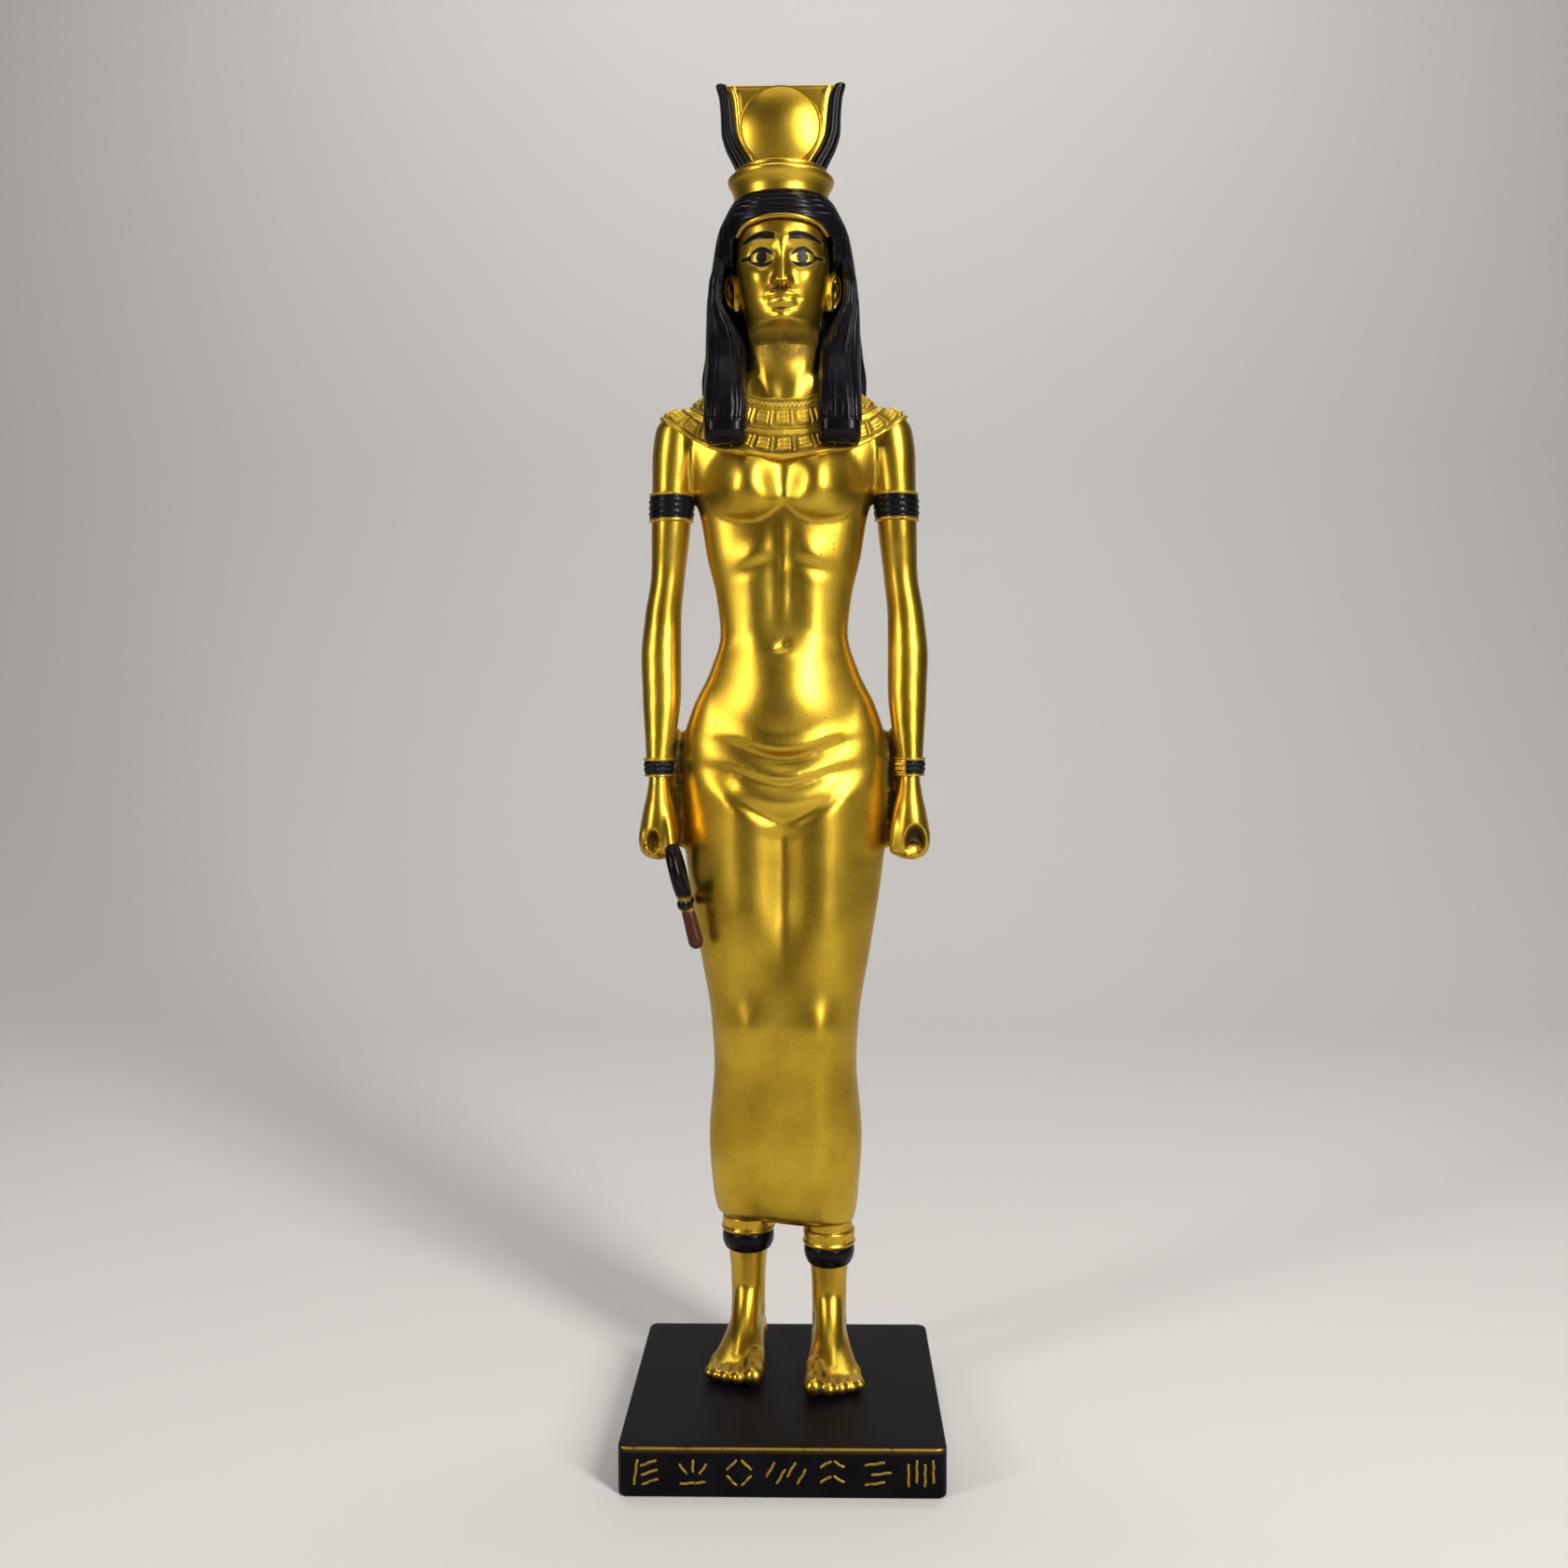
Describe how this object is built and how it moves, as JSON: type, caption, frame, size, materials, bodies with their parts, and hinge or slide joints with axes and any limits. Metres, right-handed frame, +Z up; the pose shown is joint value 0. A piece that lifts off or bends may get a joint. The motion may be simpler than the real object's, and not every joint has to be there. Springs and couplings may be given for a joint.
{
  "type": "standing goddess statuette",
  "caption": "Painted resin statuette of a standing goddess in a sheath dress with a long wig and a horned disc crown, on a low block plinth.",
  "frame": {"origin": "middle of the plinth's underside, at the middle of the whole part's footprint", "axes": "+Z up through the crown, -Y the way the figure faces, +X towards the figure's left hand"},
  "size_m": [0.0672, 0.066, 0.3007],
  "materials": {
    "gold_paint": "metallic gold paint on cast resin, satin to gloss, with a dark wash in the hollows",
    "black_paint": "semi-gloss black paint on cast resin, raised edges rubbed with gold"
  },
  "bodies": {
    "root": {"figure": "gold_paint", "plinth": "black_paint"}
  },
  "joints": []
}
